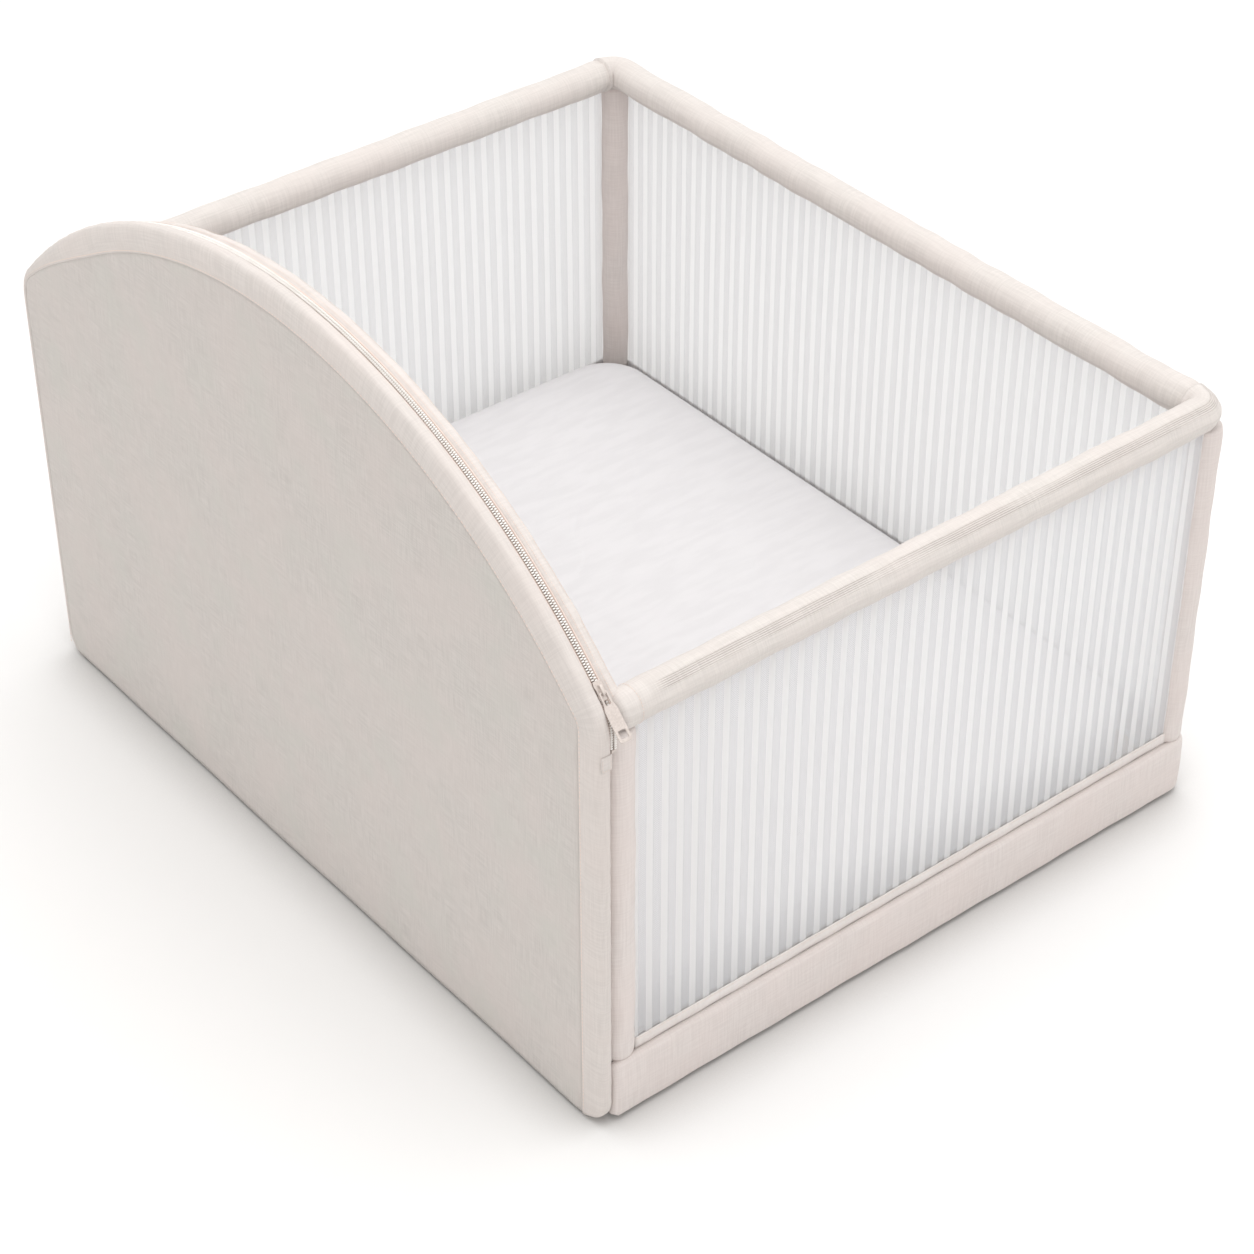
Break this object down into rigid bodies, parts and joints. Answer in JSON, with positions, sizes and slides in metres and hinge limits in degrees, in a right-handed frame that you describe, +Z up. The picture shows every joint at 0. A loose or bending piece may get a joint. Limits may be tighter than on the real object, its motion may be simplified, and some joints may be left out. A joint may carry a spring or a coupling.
{
  "type": "playpen",
  "caption": "Rigid-frame playpen with padded rails, striped mesh walls, a plinth, a thick mattress and one arched upholstered side that unzips and folds down.",
  "frame": {"origin": "on the floor, under the middle of the footprint", "axes": "+Z up; +Y along the arched side, the longer way; +X from the arched side across to the mesh side opposite it"},
  "size_m": [0.96, 1.1754, 0.844],
  "materials": {
    "linen_fabric": "woven linen-look upholstery, warm greige",
    "panel_fabric": "the same weave, a shade greyer",
    "striped_mesh": "white knitted mesh with dense vertical stripes",
    "white_quilt": "matt white quilted cotton",
    "foam": "open-cell foam",
    "fibre_board": "plain hardboard",
    "painted_steel": "satin powder coat",
    "moulded_nylon": "matt moulded",
    "rubber_foot": "matt",
    "zip_tape": "herringbone tape",
    "zip_teeth": "satin moulded coil",
    "zip_metal": "satin lacquered die-cast metal"
  },
  "bodies": {
    "frame": {"arch_sleeve": "linen_fabric", "arch_tube": "painted_steel", "base_band_back": "linen_fabric", "base_band_front": "linen_fabric", "base_band_right": "linen_fabric", "corner_block_back_left": "moulded_nylon", "corner_block_back_right": "moulded_nylon", "corner_block_front_left": "moulded_nylon", "corner_block_front_right": "moulded_nylon", "floor_board": "fibre_board", "floor_tube_back": "painted_steel", "floor_tube_front": "painted_steel", "floor_tube_left": "painted_steel", "floor_tube_right": "painted_steel", "foot_back_left": "rubber_foot", "foot_back_right": "rubber_foot", "foot_block_back_left": "moulded_nylon", "foot_block_back_right": "moulded_nylon", "foot_block_front_left": "moulded_nylon", "foot_block_front_right": "moulded_nylon", "foot_front_left": "rubber_foot", "foot_front_right": "rubber_foot", "hinge_strip": "linen_fabric", "mesh_back": "striped_mesh", "mesh_front": "striped_mesh", "mesh_hem_back": "linen_fabric", "mesh_hem_front": "linen_fabric", "mesh_hem_right": "linen_fabric", "mesh_right": "striped_mesh", "post_sleeve_back_left": "linen_fabric", "post_sleeve_back_right": "linen_fabric", "post_sleeve_front_left": "linen_fabric", "post_sleeve_front_right": "linen_fabric", "post_tube_back_left": "painted_steel", "post_tube_back_right": "painted_steel", "post_tube_front_left": "painted_steel", "post_tube_front_right": "painted_steel", "rail_sleeve_back": "linen_fabric", "rail_sleeve_front": "linen_fabric", "rail_sleeve_right": "linen_fabric", "rail_tube_back": "painted_steel", "rail_tube_front": "painted_steel", "rail_tube_right": "painted_steel", "zip_coil_frame": "zip_teeth", "zip_stop_back": "zip_metal", "zip_stop_front": "zip_metal", "zip_tape_frame": "zip_tape"},
    "side": {"panel_border": "linen_fabric", "panel_cover": "panel_fabric", "panel_foam": "foam", "panel_board": "fibre_board", "panel_lining": "linen_fabric", "zip_coil_panel": "zip_teeth", "zip_tape_panel": "zip_tape", "zip_garage": "linen_fabric"},
    "slider": {"zip_slider": "zip_metal"},
    "pull": {"zip_pull": "zip_metal"},
    "mattress": {"mattress_cover": "white_quilt", "mattress_foam": "foam", "mattress_base": "fibre_board"}
  },
  "joints": [
    {"name": "side_fold", "type": "hinge", "parent": "frame", "child": "side", "pos_m": [-0.48, 0, 0.003], "axis": [0, -1, 0], "range_deg": [0, 90]},
    {"name": "zip_run", "type": "hinge", "parent": "frame", "child": "slider", "pos_m": [-0.4545, 0, 0.06196], "axis": [-1, 0, 0], "range_deg": [0, 90.5]},
    {"name": "pull_swing", "type": "hinge", "parent": "slider", "child": "pull", "pos_m": [-0.4545, -0.55678, 0.60942], "axis": [-1, 0, 0], "range_deg": [0, 150]},
    {"name": "mattress_lift", "type": "slide", "parent": "frame", "child": "mattress", "axis": [0, 0, 1], "range_m": [0, 0.56]}
  ]
}
